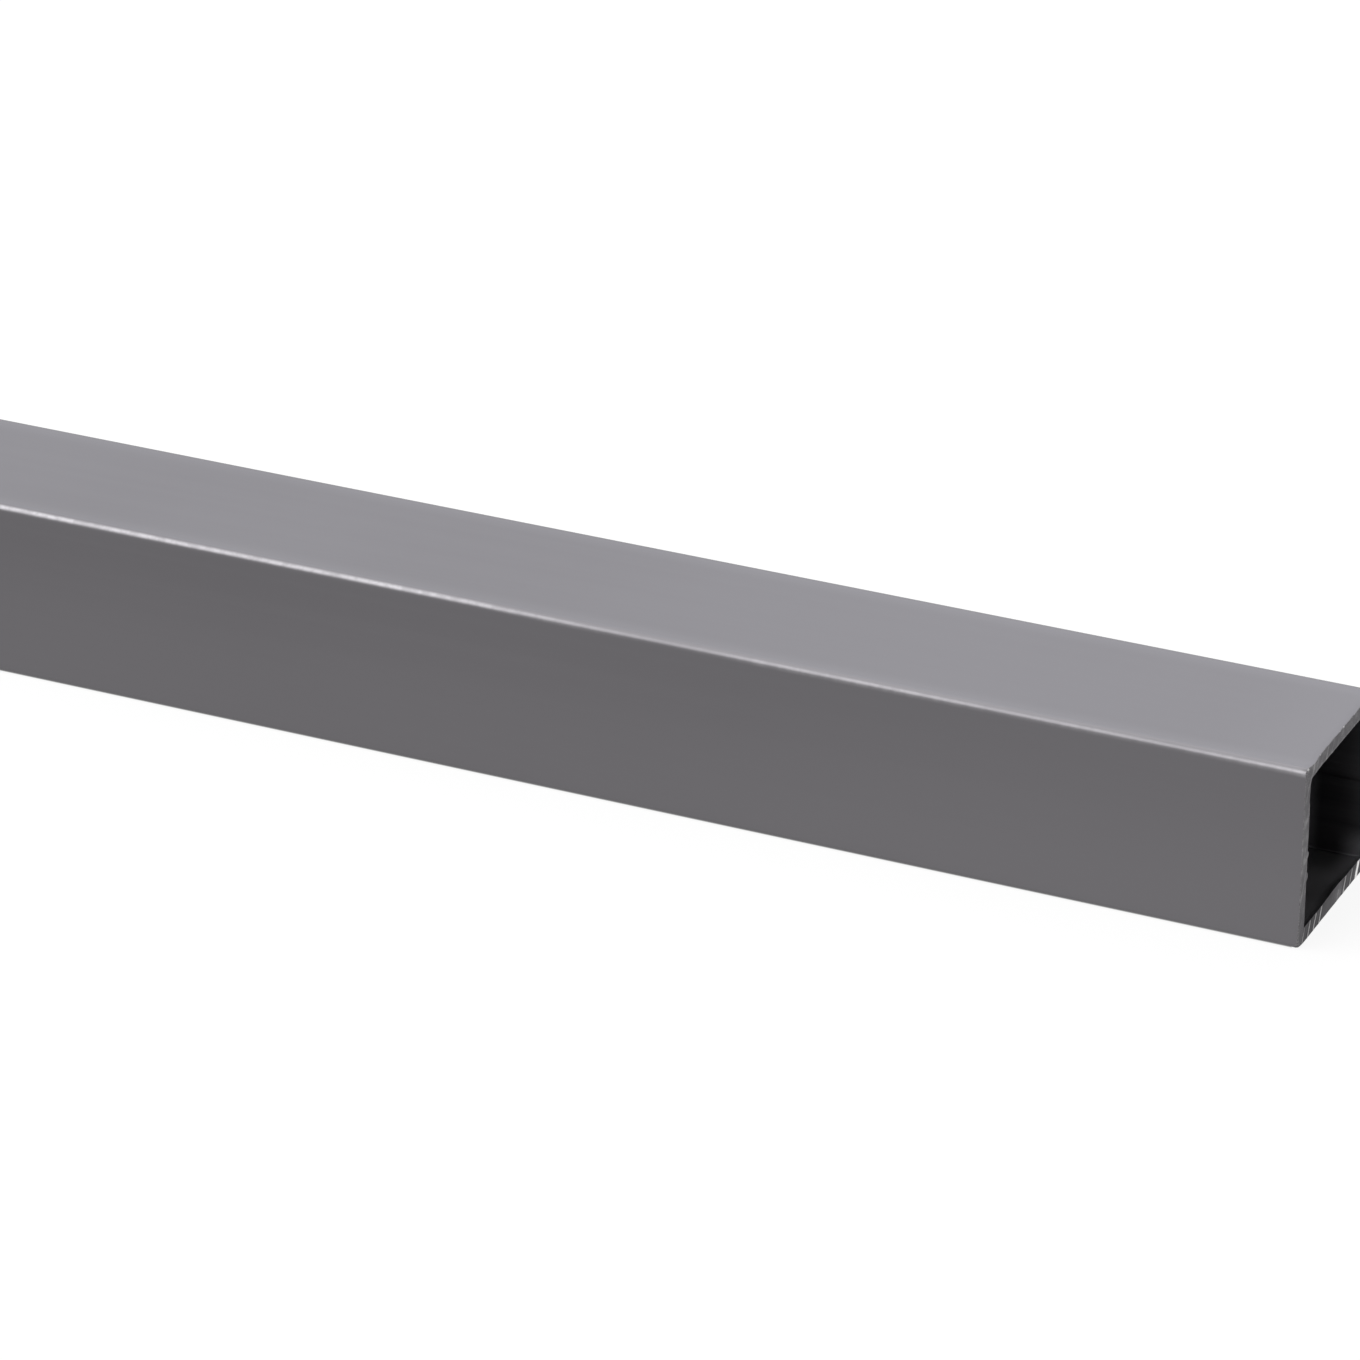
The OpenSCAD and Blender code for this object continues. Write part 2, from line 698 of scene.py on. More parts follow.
    def _stitch(self, rings: list[Ring]) -> bpy.types.Mesh:
        """Joins a closed chain of rings into one mesh.

        Args:
            rings: The rings in order; the last one is joined to the first.

        Returns:
            The mesh, with its material numbers, smooth faces and cut tones.
        """
        vertices: list[Vector] = []
        tones: list[float] = []
        numbered: list[dict[int, int]] = []
        for ring in rings:
            numbered.append({number: len(vertices) + n for n, number in enumerate(ring.spots)})
            vertices += [place for place, _ in ring.spots.values()]
            tones += [tone for _, tone in ring.spots.values()]
        polygons: list[tuple[int, ...]] = []
        finishes: list[int] = []
        for ring, here, there in zip(rings, numbered, numbered[1:] + numbered[:1]):
            polygons += band(here, there, len(self.outline))
            finishes += [ring.finish.value] * (len(polygons) - len(finishes))
        mesh = bpy.data.meshes.new(self.name)
        mesh.from_pydata(vertices, [], polygons)
        mesh.polygons.foreach_set("material_index", finishes)
        mesh.polygons.foreach_set("use_smooth", [True] * len(polygons))
        mesh.attributes.new("cut_tone", "FLOAT", "POINT").data.foreach_set("value", tones)
        mesh.set_sharp_from_angle(angle=math.radians(self.sharp_deg))
        mesh.update()
        return mesh


def band(here: dict[int, int], there: dict[int, int], count: int) -> list[tuple[int, ...]]:
    """Faces between two rings, of which either may be a coarse one.

    Args:
        here: Vertex of each number round the section in the first ring.
        there: The same in the second ring.
        count: Count of numbers round the section.

    Returns:
        The faces, as vertex numbers.
    """
    shared = sorted(set(here) & set(there))
    polygons: list[tuple[int, ...]] = []
    for start, stop in zip(shared, shared[1:] + [shared[0] + count]):
        near = [here[n % count] for n in range(start, stop + 1) if n % count in here]
        far = [there[n % count] for n in range(start, stop + 1) if n % count in there]
        if len(near) == len(far) == 2:
            polygons.append((near[0], near[1], far[1], far[0]))
            continue
        fine, coarse = (near, far) if len(near) > 2 else (far, near)
        middle = len(fine) // 2
        fan = [(fine[n], fine[n + 1], coarse[0]) for n in range(middle)]
        fan.append((fine[middle], coarse[1], coarse[0]))
        fan += [(fine[n], fine[n + 1], coarse[1]) for n in range(middle, len(fine) - 1)]
        polygons += fan if fine is near else [face[::-1] for face in fan]
    return polygons


# Shader tools


class NodeSheet:
    """A node tree with short calls to add and join its nodes."""

    def __init__(self, tree: NodeTree) -> None:
        """Keeps the tree to write in."""
        self.tree = tree

    def add(self, kind: str, inputs: dict | None = None, **settings: str | bool | NodeTree) -> bpy.types.Node:
        """Adds a node.

        Args:
            kind: Name of the node's class, without its leading ShaderNode.
            inputs: Value or source socket of each input, by its name or number.
            **settings: Properties of the node.

        Returns:
            The node.
        """
        node = self.tree.nodes.new("ShaderNode" + kind)
        for name, value in settings.items():
            setattr(node, name, value)
        for name, value in (inputs or {}).items():
            if isinstance(value, Socket):
                self.tree.links.new(value, node.inputs[name])
            else:
                node.inputs[name].default_value = value
        return node

    def math(self, operation: str, *values: float | Socket, clamp: bool = False) -> Socket:
        """Result of a math node with these inputs; clamp holds it between 0 and 1."""
        node = self.add("Math", dict(enumerate(values)), operation=operation, use_clamp=clamp)
        return node.outputs[0]

    def times(self, *factors: float | Socket) -> Socket:
        """Product of several values."""
        return reduce(lambda product, factor: self.math("MULTIPLY", product, factor), factors)

    def weigh(self, first: Socket, first_share: float, second: Socket, second_share: float) -> Socket:
        """Sum of two values, each times its share."""
        return self.math("ADD", self.times(first, first_share), self.times(second, second_share))

    def remap(self, value: Socket, low: float, high: float, to_low: float = 0, to_high: float = 1) -> Socket:
        """Maps a value smoothly from one range to another, and no further."""
        inputs = {0: value, 1: low, 2: high, 3: to_low, 4: to_high}
        return self.add("MapRange", inputs, interpolation_type="SMOOTHSTEP").outputs[0]

    def ramp(self, value: Socket, low: float, high: float) -> Socket:
        """Maps a value straight to 0 at one value and 1 at another, and no further."""
        return self.add("MapRange", {0: value, 1: low, 2: high}).outputs[0]

    def mix(self, factor: Socket, first: Colour | Socket, second: Colour) -> Socket:
        """Mixes two colours: 0 for the first, 1 for the second."""
        return self.add("Mix", {0: factor, 6: first, 7: second}, data_type="RGBA").outputs[2]

    def coats(self, base: Colour, *coats: tuple[Socket, Colour]) -> Socket:
        """Lays colours over a base colour in order, each with its own mask."""
        return reduce(lambda shown, coat: self.mix(coat[0], shown, coat[1]), coats, base)

    def parts(self, place: Socket) -> Sockets:
        """The X, Y and Z of a place."""
        return self.add("SeparateXYZ", {0: place}).outputs

    def group(self, tree: NodeTree, inputs: dict) -> Sockets:
        """Places a shared effect, and gives its outputs."""
        return self.add("Group", inputs, node_tree=tree).outputs


class SharedEffect(NodeSheet):
    """A node group with named sockets, built once and placed in each material that needs it."""

    def __init__(self, name: str, sizes: tuple[str, ...], results: tuple[str, ...]) -> None:
        """Makes a group with a Place among its inputs.

        Args:
            name: Name of the effect.
            sizes: Names of its other inputs, which are numbers.
            results: Names of its outputs, which are numbers too.
        """
        super().__init__(bpy.data.node_groups.new(name, "ShaderNodeTree"))
        self.tree.interface.new_socket("Place", in_out="INPUT", socket_type="NodeSocketVector")
        for label in sizes:
            self.tree.interface.new_socket(label, in_out="INPUT", socket_type="NodeSocketFloat")
        for label in results:
            self.tree.interface.new_socket(label, in_out="OUTPUT", socket_type="NodeSocketFloat")
        self.given = self.tree.nodes.new("NodeGroupInput").outputs
        self.result = self.tree.nodes.new("NodeGroupOutput").inputs

    def send(self, label: str, value: Socket) -> None:
        """Joins a value to an output of the group."""
        self.tree.links.new(value, self.result[label])

    def send_nearness(self, label: str, gap: Socket) -> None:
        """Sends 1 where a gap is 0, falling to 0 where it is as wide as the given Reach."""
        self.send(label, self.remap(self.math("DIVIDE", gap, self.given["Reach"]), 1.0, 0.0))


def draw_lines_effect() -> NodeTree:
    """Fine lines that the rolls draw along the bar, at two widths.

    Returns:
        Group with inputs Place, Width and Length and outputs Lines and Height.
    """
    effect = SharedEffect("draw lines", ("Width", "Length"), ("Lines", "Height"))
    along = effect.math("DIVIDE", 1.0, effect.given["Length"])
    across = effect.math("DIVIDE", 1.0, effect.given["Width"])
    stretch = effect.add("CombineXYZ", {0: along, 1: across, 2: across}).outputs[0]
    spot = effect.add("VectorMath", {0: effect.given["Place"], 1: stretch}, operation="MULTIPLY").outputs[0]
    broad = effect.add("TexNoise", {"Vector": spot, "Scale": 1.0, "Detail": 2.0, "Roughness": 0.55})
    fine = effect.add("TexNoise", {"Vector": spot, "Scale": 3.7, "Detail": 3.0, "Roughness": 0.6})
    both = effect.weigh(broad.outputs[0], 0.6, fine.outputs[0], 0.4)
    effect.send("Lines", effect.remap(both, 0.36, 0.64))
    effect.send("Height", both)
    return effect.tree


def noise_effect(name: str, result: str, detail: float, roughness: float,
                 levels: Span | None = None) -> NodeTree:
    """Soft noise with spots of one size.

    Args:
        name: Name of the effect.
        result: Name of its output.
        detail: Octaves of the noise.
        roughness: How strong the finer ones are.
        levels: Values of the noise that become 0 and 1, or none to leave it plain.

    Returns:
        Group with inputs Place and Size and the named output.
    """
    effect = SharedEffect(name, ("Size",), (result,))
    scale = effect.math("DIVIDE", 1.0, effect.given["Size"])
    inputs = {"Vector": effect.given["Place"], "Scale": scale, "Detail": detail, "Roughness": roughness}
    spots = effect.add("TexNoise", inputs).outputs[0]
    effect.send(result, effect.remap(spots, *levels) if levels else spots)
    return effect.tree


def corner_effect() -> NodeTree:
    """Nearness of the section's rolled corners.

    Returns:
        Group with inputs Place, Half Side, Middle Height and Reach and output Corner, 1 on the corners.
    """
    effect = SharedEffect("rolled corners", ("Half Side", "Middle Height", "Reach"), ("Corner",))
    _, across, up = effect.parts(effect.given["Place"])
    from_middle = effect.math("ABSOLUTE", effect.math("SUBTRACT", up, effect.given["Middle Height"]))
    nearer = effect.math("MINIMUM", effect.math("ABSOLUTE", across), from_middle)
    effect.send_nearness("Corner", effect.math("SUBTRACT", effect.given["Half Side"], nearer))
    return effect.tree


def end_effect() -> NodeTree:
    """Nearness of the sawn ends.

    Returns:
        Group with inputs Place, Half Length and Reach and output End, 1 at the ends.
    """
    effect = SharedEffect("bar ends", ("Half Length", "Reach"), ("End",))
    along = effect.math("ABSOLUTE", effect.parts(effect.given["Place"])[0])
    effect.send_nearness("End", effect.math("SUBTRACT", effect.given["Half Length"], along))
    return effect.tree


@dataclass(frozen=True)
class Effects:
    """The shared effects, each built once: draw lines, clouds of oil, satin grain, corners and ends."""

    lines: NodeTree = field(default_factory=draw_lines_effect)
    clouds: NodeTree = field(
        default_factory=lambda: noise_effect("clouds", "Clouds", 3.0, 0.5, (0.3, 0.7)))
    grain: NodeTree = field(
        default_factory=lambda: noise_effect("satin grain", "Grain", 2.0, 0.7))
    corners: NodeTree = field(default_factory=corner_effect)
    ends: NodeTree = field(default_factory=end_effect)


# Finishes


class SteelFinish(NodeSheet):
    """What the bar's finishes share: a metal shader, and the shared effects with the finish's own sizes."""

    name: str
    metallic: float = 1.0
    edge_tint: Colour = WHITE
    line_width: float
    line_length: float
    cloud_size: float
    relief: float
    relief_depth: float

    def __init__(self, effects: Effects, half_side: float, half_length: float) -> None:
        """Makes the material and dresses it.

        Args:
            effects: The shared effects.
            half_side: Half the side of the bar.
            half_length: Half its length.
        """
        self.material = bpy.data.materials.new(self.name)
        self.material.use_nodes = True
        super().__init__(self.material.node_tree)
        self.effects = effects
        self.half_side = half_side
        self.half_length = half_length
        self.place = self.add("TexCoord").outputs["Object"]
        self.x, self.y, self.z = self.parts(self.place)
        tint, rough, height = self.dress()
        bump = self.add("Bump", {"Strength": self.relief, "Distance": self.relief_depth, "Height": height})
        shader = self.tree.nodes["Principled BSDF"]
        self.tree.links.new(tint, shader.inputs["Base Color"])
        self.tree.links.new(rough, shader.inputs["Roughness"])
        self.tree.links.new(bump.outputs[0], shader.inputs["Normal"])
        shader.inputs["Metallic"].default_value = self.metallic
        shader.inputs["Specular Tint"].default_value = self.edge_tint

    def dress(self) -> tuple[Socket, Socket, Socket]:
        """Colour, roughness and height of the finish, which each finish works out for itself."""
        raise NotImplementedError

    def lines(self) -> Sockets:
        """The Lines and Height of the draw lines."""
        sizes = {"Width": self.line_width, "Length": self.line_length}
        return self.group(self.effects.lines, {"Place": self.place, **sizes})

    def clouds(self) -> Socket:
        """The clouds of oil."""
        return self.group(self.effects.clouds, {"Place": self.place, "Size": self.cloud_size})[0]

    def grain(self, size: float) -> Socket:
        """Grain of this size."""
        return self.group(self.effects.grain, {"Place": self.place, "Size": size})[0]

    def by_end(self, reach: float) -> Socket:
        """Nearness of the sawn ends, 1 at them and 0 from this far in."""
        sizes = {"Half Length": self.half_length, "Reach": reach}
        return self.group(self.effects.ends, {"Place": self.place, **sizes})[0]

    def across(self, value: Socket, shares: Span, low: float = 0.0, high: float = 1.0) -> Socket:
        """Maps a place across the bar smoothly between two shares of its half side."""
        return self.remap(value, self.half_side * shares[0], self.half_side * shares[1], low, high)


class MillSteel(SteelFinish):
    """Cold-rolled mill finish: satin grey with draw lines, oil clouds and a trimmed seam, lighter towards the
    ends, with painted sheen beside the top's corners and low on the walls, a painted highlight on the upper
    corners and painted shade on the lower ones.
    """

    name = "mill_steel"
    base: Colour = (0.1320, 0.1270, 0.1350, 1.0)
    line_tint: Colour = (0.1395, 0.1345, 0.1425, 1.0)
    oil_tint: Colour = (0.1250, 0.1205, 0.1280, 1.0)
    # painted sheen beside the top's corners and low on the walls, and lighter towards the ends
    lightened: Colour = (0.1590, 0.1540, 0.1630, 1.0)
    # painted highlight: brighter metal on the upper corners that shapes their highlight
    highlight_tint: Colour = (0.2850, 0.2780, 0.2900, 1.0)
    # painted shade on the lower corners, standing in for the floor's contact shadow that they reflect
    foot_shade: Colour = (0.1000, 0.0970, 0.1020, 1.0)
    heated: Colour = (0.0980, 0.0960, 0.1100, 1.0)
    scarfed: Colour = (0.2000, 0.1960, 0.2030, 1.0)
    roughness: Span = (0.42, 0.38)
    relief = 0.25
    relief_depth = 0.01 * MM
    line_width = 1.6 * MM
    line_length = 160 * MM
    cloud_size = 38 * MM
    grain_size: float = 0.12 * MM
    # weights of the draw lines and the grain in the relief
    line_weight: float = 0.7
    grain_weight: float = 0.3
    # how much of the draw lines, the oil, the painted shade at the foot of the walls and the heat tint shows
    line_share: float = 0.5
    oil_share: float = 0.5
    foot_shade_share: float = 0.60
    heat_share: float = 0.7
    # heights between which the painted shade at the foot of the walls fades, and distances from the seam
    # between which its two bands do
    foot_shade_heights: Span = (0.70 * MM, 0.20 * MM)
    heat_band: Span = (4.2 * MM, 1.6 * MM)
    scarf_band: Span = (1.65 * MM, 1.35 * MM)
    seam_offset: float = SquareSection().seam_offset
    # shares of the half side between which the back wall, the top and the lower part of the walls begin
    back_shares: Span = (0.93, 0.98)
    top_shares: Span = (1.9, 1.99)
    low_shares: Span = (1.95, 0.2)
    # reach of the lightening in from the corners, the ends and the tips, and its strength there and low down;
    # beside the corners and low down it is painted sheen
    corner_reach: float = 3.2 * MM
    end_reach: float = 120 * MM
    tip_reach: float = 14 * MM
    corner_sheen: float = 0.65
    end_lightening: float = 0.35
    tip_lightening: float = 0.35
    low_sheen: float = 0.45
    # the painted highlight on the upper corners comes and goes at these depths below the top, and reaches
    # this far in from the side
    highlight_from: Span = (0.08 * MM, 0.26 * MM)
    highlight_to: Span = (0.92 * MM, 0.52 * MM)
    highlight_side: Span = (0.52 * MM, 0.38 * MM)
    # further in along the bar, between these two shares of its half length, its two edges climb by this much
    highlight_turns: Span = (0.845, 0.815)
    highlight_climbs: Span = (0.09 * MM, 0.27 * MM)
    nick_size: float = 1.3 * MM
    nick_levels: Span = (0.35, 0.65)
    nick_shine: Span = (0.7, 1.3)
    # strength of the painted highlight along the bar, from its middle at 0 to its ends at 1
    stretches: tuple[Span, ...] = (
        (0.00, 0.45), (0.12, 0.20), (0.25, 0.60), (0.40, 0.25), (0.55, 0.60), (0.72, 0.71), (0.76, 0.56),
        (0.785, 0.58), (0.806, 0.74), (0.829, 0.32), (0.86, 0.0), (0.873, 0.07), (0.883, 0.26), (0.92, 0.26),
        (0.935, 0.09), (0.95, 0.22), (0.972, 0.09), (0.990, 0.30), (0.9955, 0.36), (0.9975, 0.60),
    )

    def dress(self) -> tuple[Socket, Socket, Socket]:
        """Shades the rolled faces.

        Returns:
            Colour, roughness and height.
        """
        lines = self.lines()
        clouds = self.clouds()
        heat, scarf = self._seam()
        tint = self.coats(
            self.base,
            (self.times(lines["Lines"], self.line_share), self.line_tint),
            (self.times(clouds, self.oil_share), self.oil_tint),
            # painted sheen, and lighter towards the ends
            (self._sheen_and_lightening(), self.lightened),
            # painted highlight on the upper corners
            (self._painted_highlight(), self.highlight_tint),
            # painted shade on the lower corners
            (self.remap(self.z, *self.foot_shade_heights, 0.0, self.foot_shade_share), self.foot_shade),
            (self.times(heat, self.heat_share), self.heated),
            (self.times(scarf, lines["Lines"]), self.scarfed),
        )
        height = self.weigh(lines["Height"], self.line_weight, self.grain(self.grain_size), self.grain_weight)
        return tint, self.remap(clouds, 0.0, 1.0, *self.roughness), height

    def _sheen_and_lightening(self) -> Socket:
        """Painted sheen on the top beside the corners and on the lower part of the walls, and lighter near
        the sawn ends.

        Returns:
            The mask.
        """
        sizes = {"Half Side": self.half_side, "Middle Height": self.half_side, "Reach": self.corner_reach}
        corner = self.group(self.effects.corners, {"Place": self.place, **sizes})[0]
        top = self.across(self.z, self.top_shares)
        beside = self.math("ADD", self.times(corner, top, self.corner_sheen),
                           self.across(self.z, self.low_shares, 0.0, self.low_sheen))
        tip = self.times(self.by_end(self.tip_reach), top)
        near = self.weigh(self.by_end(self.end_reach), self.end_lightening, tip, self.tip_lightening)
        return self.math("ADD", beside, near, clamp=True)

    def _painted_highlight(self) -> Socket:
        """Painted highlight on the side of the upper rolled corners, nicked and in stretches along the bar.

        Returns:
            The mask.
        """
        along = self.math("DIVIDE", self.math("ABSOLUTE", self.x), self.half_length)
        further_in = self.remap(along, *self.highlight_turns)
        below = self.math("SUBTRACT", 2 * self.half_side, self.z)
        upper, lower = (self.math("MULTIPLY_ADD", further_in, climb, below) for climb in self.highlight_climbs)
        inside = self.math("SUBTRACT", self.half_side, self.math("ABSOLUTE", self.y))
        corner = self.times(self.remap(upper, *self.highlight_from), self.remap(lower, *self.highlight_to),
                            self.remap(inside, *self.highlight_side))
        ramp = self.add("ValToRGB", {0: along})
        stops = ramp.color_ramp.elements
        while len(stops) < len(self.stretches):
            stops.new(1.0)
        for stop, (position, shine) in zip(stops, self.stretches):
            stop.position = position
            stop.color = (shine, shine, shine, 1.0)
        nicks = self.remap(self.grain(self.nick_size), *self.nick_levels, *self.nick_shine)
        return self.math("MULTIPLY", corner, self.times(ramp.outputs[0], nicks), clamp=True)

    def _seam(self) -> tuple[Socket, Socket]:
        """The weld seam on the outside of the back wall: a trimmed band between two heat-tinted ones.

        Returns:
            Masks of the heat tint and of the trimmed band.
        """
        back = self.across(self.y, self.back_shares)
        away = self.math("ABSOLUTE", self.math("SUBTRACT", self.z, self.half_side + self.seam_offset))
        heat, scarf = self.remap(away, *self.heat_band), self.remap(away, *self.scarf_band)
        return self.times(heat, back), self.times(scarf, back)


class SawnSteel(SteelFinish):
    """Cut metal of the ends: grey, with painted glints on the tooth marks and painted shade in their grooves
    and on the bottom wall.
    """

    name = "sawn_steel"
    edge_tint = (0.75, 0.75, 0.75, 1.0)
    # tones below plain go towards this: dark metal and painted shade
    dull_and_shade: Colour = (0.010, 0.010, 0.011, 1.0)
    plain: Colour = (0.0912, 0.0872, 0.0938, 1.0)
    # tones above plain go towards this: bright metal and painted glints
    bright: Colour = (0.92, 0.91, 0.90, 1.0)
    grain_size: float = 0.1 * MM
    # levels of the grain, and how much it dulls and brightens the metal there
    grain_levels: Span = (0.25, 0.75)
    speckle: Span = (-0.05, 0.05)
    # tones between which the metal grows smoother
    smoother: Span = (0.4, 1.0)
    roughness: Span = (0.46, 0.30)
    relief = 0.3
    relief_depth = 0.01 * MM

    def dress(self) -> tuple[Socket, Socket, Socket]:
        """Shades the cut by the brightness that the mesh holds.

        Returns:
            Colour, roughness and height.
        """
        tone = self.add("Attribute", attribute_name="cut_tone").outputs["Fac"]
        grain = self.grain(self.grain_size)
        speckled = self.math("ADD", tone, self.remap(grain, *self.grain_levels, *self.speckle))
        metal = self.mix(self.ramp(speckled, 0.0, PLAIN), self.dull_and_shade, self.plain)
        tint = self.mix(self.ramp(speckled, PLAIN, 1.0), metal, self.bright)
        return tint, self.remap(tone, *self.smoother, *self.roughness), grain


class BoreScale(SteelFinish):
    """Dark scale and oil on the inner faces, with dust along the bore's floor, painted light at its mouths
    and a painted reflection on the walls further in.
    """

    name = "bore_scale"
    base: Colour = (0.036, 0.035, 0.038, 1.0)
    patch: Colour = (0.056, 0.054, 0.058, 1.0)
    dust: Colour = (0.190, 0.186, 0.196, 1.0)
    # painted light, at the mouths and in the reflection further in
    painted_light: Colour = (0.360, 0.356, 0.378, 1.0)
    roughness: Span = (0.55, 0.42)
    relief = 0.3
    relief_depth = 0.02 * MM
    line_width = 2.2 * MM
    line_length = 120 * MM
    cloud_size = 14 * MM
    # heights, and shares of the half side at the back, between which the dust on the floor ends
    dust_heights: Span = (2.3 * MM, 2.0 * MM)
    dust_edge: Span = (0.84, 0.80)
    # how much lies at the back and at the front, and between which shares of the half side
    dust_across: Span = (0.6, -0.6)
    dust_shares: Span = (0.74, 0.42)
    # painted light at the mouths: reach in from the ends, and shares of the half side over which it grows to
    # the back
    mouth_light_reach: float = 3.2 * MM
    mouth_light_across: Span = (0.1, 0.7)
    # heights between which it grows from its least to its full share
    mouth_light_heights: Span = (5.0 * MM, 1.8 * MM)
    mouth_light_shares: Span = (0.07, 1.0)
    # painted reflection of light on the walls: distances in from the ends where it comes and goes, and its
    # strength up and down
    reflected_light_from: Span = (4.6 * MM, 6.9 * MM)
    reflected_light_to: Span = (30 * MM, 12 * MM)
    reflected_light_heights: Span = (15 * MM, 9 * MM)
    reflected_light_shares: Span = (0.36, 0.70)

    def dress(self) -> tuple[Socket, Socket, Socket]:
        """Shades the bore.

        Returns:
            Colour, roughness and height.
        """
        lines = self.lines()
        clouds = self.clouds()
        dusty = self.times(self.remap(self.z, *self.dust_heights), self.across(self.y, self.dust_edge),
                           self.across(self.y, self.dust_across, *self.dust_shares))
        mouth_light = self.times(self.by_end(self.mouth_light_reach),
                           self.remap(self.z, *self.mouth_light_heights, *self.mouth_light_shares),
                           self.across(self.y, self.mouth_light_across))
        from_end = self.math("SUBTRACT", self.half_length, self.math("ABSOLUTE", self.x))
        reflected_light = self.times(self.remap(from_end, *self.reflected_light_from), self.remap(from_end, *self.reflected_light_to),
                           self.remap(self.z, *self.reflected_light_heights, *self.reflected_light_shares))
        tint = self.coats(
            self.base,
            (self.times(clouds, lines["Lines"]), self.patch),
            # painted reflection of light on the walls
            (reflected_light, self.painted_light),
            (dusty, self.dust),
            # painted light at the mouths
            (mouth_light, self.painted_light),
        )
        return tint, self.remap(clouds, 0.0, 1.0, *self.roughness), lines["Height"]


# Studio


def background_ray(sheet: NodeSheet) -> Socket:
    """1 for rays that show the background, in this sheet: those of the camera, of gloss and of glass."""
    rays = sheet.add("LightPath").outputs
    return sheet.math("MAXIMUM", sheet.math("MAXIMUM", rays["Is Camera Ray"], rays["Is Glossy Ray"]),
                      rays["Is Transmission Ray"])


@dataclass(frozen=True)
class Surround:
    """The white room round the object: a white background and a soft even fill."""

    fill: float = 0.30

    def build(self) -> None:
        """Makes the world."""
        world = bpy.data.worlds.new("white_room")
        world.use_nodes = True
        bpy.context.scene.world = world
        world.node_tree.nodes.clear()
        sheet = NodeSheet(world.node_tree)
        fill = sheet.add("Background", {"Color": WHITE, "Strength": self.fill})
        white = sheet.add("Background", {"Color": WHITE, "Strength": 1.0})
        mixed = sheet.add("MixShader", {0: background_ray(sheet), 1: fill.outputs[0], 2: white.outputs[0]})
        sheet.add("OutputWorld", {0: mixed.outputs[0]})


@dataclass(frozen=True)
class PaleFloor:
    """The plain pale floor that the bar lies on."""

    bar_half_side: float
    bar_half_length: float
    size: float = 30.0
    albedo: float = 0.8
    shade: float = 0.13
    glow: float = 0.90
    # how far under the bar the contact shadow is full, and where it begins
    contact: Span = (0.62 * MM, 0.25 * MM)
    contact_glow: float = 0.03
    # the ends are broken back, so that the paper under them stays lit for this far
    lit_under_end: float = 0.7 * MM
    # between these distances from the middle the glow makes up for the lamps' falling light
    far: Span = (0.9, 2.4)
    far_glow: float = 1.0

    def build(self) -> None:
        """Makes the floor."""
        half = self.size / 2
        mesh = bpy.data.meshes.new("pale_floor")
        corners = [(-half, -half, 0), (half, -half, 0), (half, half, 0), (-half, half, 0)]
        mesh.from_pydata(corners, [], [(0, 1, 2, 3)])
        mesh.materials.append(self._material())
        floor = bpy.data.objects.new("pale_floor", mesh)
        bpy.context.scene.collection.objects.link(floor)

    def _material(self) -> bpy.types.Material:
        """White paper that keeps a soft shadow.

        Returns:
            The material.
        """
        material = bpy.data.materials.new("pale_floor")
        material.use_nodes = True
        material.node_tree.nodes.clear()
        sheet = NodeSheet(material.node_tree)
        plain = sheet.add("BsdfDiffuse", {"Color": (self.albedo,) * 3 + (1,)})
        shaded = sheet.add("BsdfDiffuse", {"Color": (self.shade,) * 3 + (1,)})
        glow = sheet.add("Emission", {"Color": WHITE, "Strength": self._lit(sheet)})
        paper = sheet.add("AddShader", {0: shaded.outputs[0], 1: glow.outputs[0]})
        mixed = sheet.add("MixShader", {0: background_ray(sheet), 1: plain.outputs[0], 2: paper.outputs[0]})
        sheet.add("OutputMaterial", {0: mixed.outputs[0]})
        return material

    def _lit(self, sheet: NodeSheet) -> Socket:
        """Strength of the paper's glow, which dies away in the contact shadow under the bar.

        Args:
            sheet: The sheet to write in.

        Returns:
            The strength.
        """
        place = sheet.add("TexCoord").outputs["Object"]
        x, y, _ = sheet.parts(place)
        beside = sheet.math("SUBTRACT", sheet.math("ABSOLUTE", y), self.bar_half_side)
        beyond = sheet.math("SUBTRACT", sheet.math("ABSOLUTE", x), self.bar_half_length - self.lit_under_end)
        clear = sheet.math("MAXIMUM", beside, beyond)
        away = sheet.add("VectorMath", {0: place}, operation="LENGTH").outputs["Value"]
        glow = sheet.remap(away, *self.far, self.glow, self.far_glow)
        shown = sheet.remap(clear, -self.contact[0], -self.contact[1], self.contact_glow, 1.0)
        return sheet.times(shown, glow)


def towards(azimuth_deg: float, elevation_deg: float) -> Vector:
    """Direction out to where something stands: 0 in front and 90 to the right, and so far up."""
    turn, lift = math.radians(azimuth_deg), math.radians(elevation_deg)
    return Vector((math.sin(turn) * math.cos(lift), -math.cos(turn) * math.cos(lift), math.sin(lift)))


@dataclass(frozen=True)
class Softbox:
    """A soft studio lamp, aimed at a point of the bar.

    Its azimuth is 0 in front and 90 to the right, its width lies along the bar, and its radiance is 1 where
    its face is as bright as a white wall.
    """

    name: str
    azimuth_deg: float
    elevation_deg: float
    height: float
    radiance: float
    colour: tuple[float, float, float] = (1.0, 1.0, 1.0)
    width: float = 2.6
    distance: float = 1.8
    aim: tuple[float, float, float] = (0.2, 0.0, 0.0)

    def build(self) -> None:
        """Makes the lamp."""
        data = bpy.data.lights.new(self.name, "AREA")
        data.shape = "RECTANGLE"
        data.size = self.width
        data.size_y = self.height
        data.energy = self.radiance * math.pi * self.width * self.height
        data.color = self.colour
        lamp = bpy.data.objects.new(self.name, data)
        out = towards(self.azimuth_deg, self.elevation_deg)
        lamp.location = Vector(self.aim) + out * self.distance
        lamp.rotation_mode = "QUATERNION"
        lamp.rotation_quaternion = out.to_track_quat("Z", "Y")
        lamp.visible_camera = False
        bpy.context.scene.collection.objects.link(lamp)
        log.info("%s stands %.2f m away", self.name, self.distance)


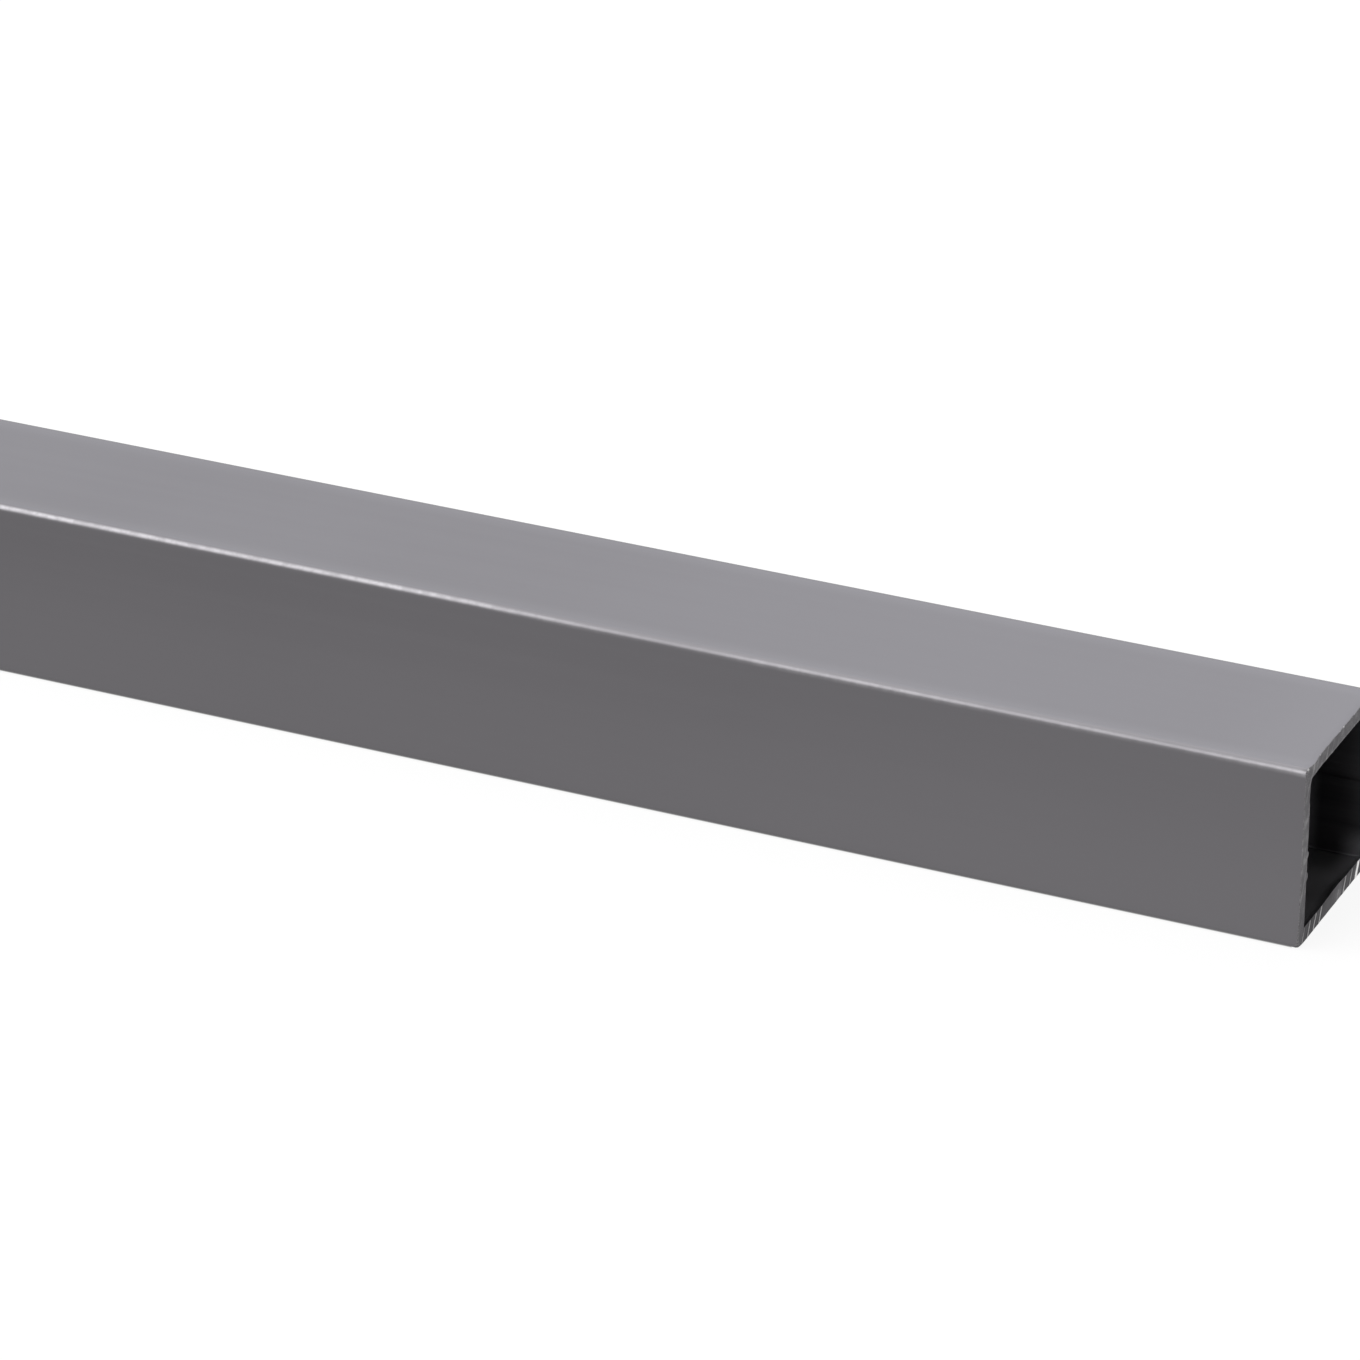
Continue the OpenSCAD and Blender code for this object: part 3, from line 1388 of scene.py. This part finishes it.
@dataclass(frozen=True)
class PhotoCamera:
    """The camera at the photograph's angle, placed from the bar's upper front corner at its sawn end.

    It looks this far to the left of straight at the front, and this far down, and sees the corner so far
    to the right of its line of sight, below it and ahead.
    """

    turn_deg: float = 24.77
    tilt_deg: float = 26.46
    lens_mm: float = 167.7
    sensor_mm: float = 36
    clip: Span = (0.05, 100)
    corner_right: float = 61.33 * MM
    corner_down: float = 8.92 * MM
    corner_ahead: float = 617.48 * MM

    def build(self, corner: Vector) -> None:
        """Makes the camera and sets it as the scene's own.

        Args:
            corner: The bar's upper front corner at its sawn end.
        """
        ahead = -towards(self.turn_deg, self.tilt_deg)
        right = Vector((math.cos(math.radians(self.turn_deg)), math.sin(math.radians(self.turn_deg)), 0))
        down = ahead.cross(right)
        data = bpy.data.cameras.new("photo_camera")
        data.lens = self.lens_mm
        data.sensor_width = self.sensor_mm
        data.clip_start, data.clip_end = self.clip
        camera = bpy.data.objects.new("photo_camera", data)
        eye = corner - right * self.corner_right - down * self.corner_down - ahead * self.corner_ahead
        camera.matrix_world = Matrix.Translation(eye) @ Matrix((right, -down, -ahead)).transposed().to_4x4()
        bpy.context.scene.collection.objects.link(camera)
        bpy.context.scene.camera = camera


def main() -> None:
    """Builds the bar, its finishes, the studio and the camera."""
    logging.basicConfig(level=logging.INFO, format="%(name)s: %(message)s")
    low, high = (Vector(corner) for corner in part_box("square_tube"))
    stock = TubeStock(low, high)
    bar = stock.build()
    stock.dress(bar)
    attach(bar, "root")
    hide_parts("square_tube")
    triangles = sum(len(polygon.vertices) - 2 for polygon in bar.data.polygons)
    log.info("%s: %d vertices, %d triangles", bar.name, len(bar.data.vertices), triangles)

    bpy.context.scene.view_settings.view_transform = "Standard"
    Surround().build()
    half_length, _, half_side = (high - low) / 2
    PaleFloor(half_side, half_length).build()
    Softbox("front_softbox", azimuth_deg=-38, elevation_deg=40, height=1.3, radiance=2.45).build()
    Softbox("overhead_softbox", azimuth_deg=-115, elevation_deg=74, height=1.2, radiance=1.65).build()
    Softbox("rear_softbox", azimuth_deg=-153, elevation_deg=34, height=1.0, radiance=0.98,
            colour=(0.955, 0.985, 1.06)).build()
    PhotoCamera().build(Vector((high.x, low.y, high.z)))


if __name__ == "__main__":
    main()
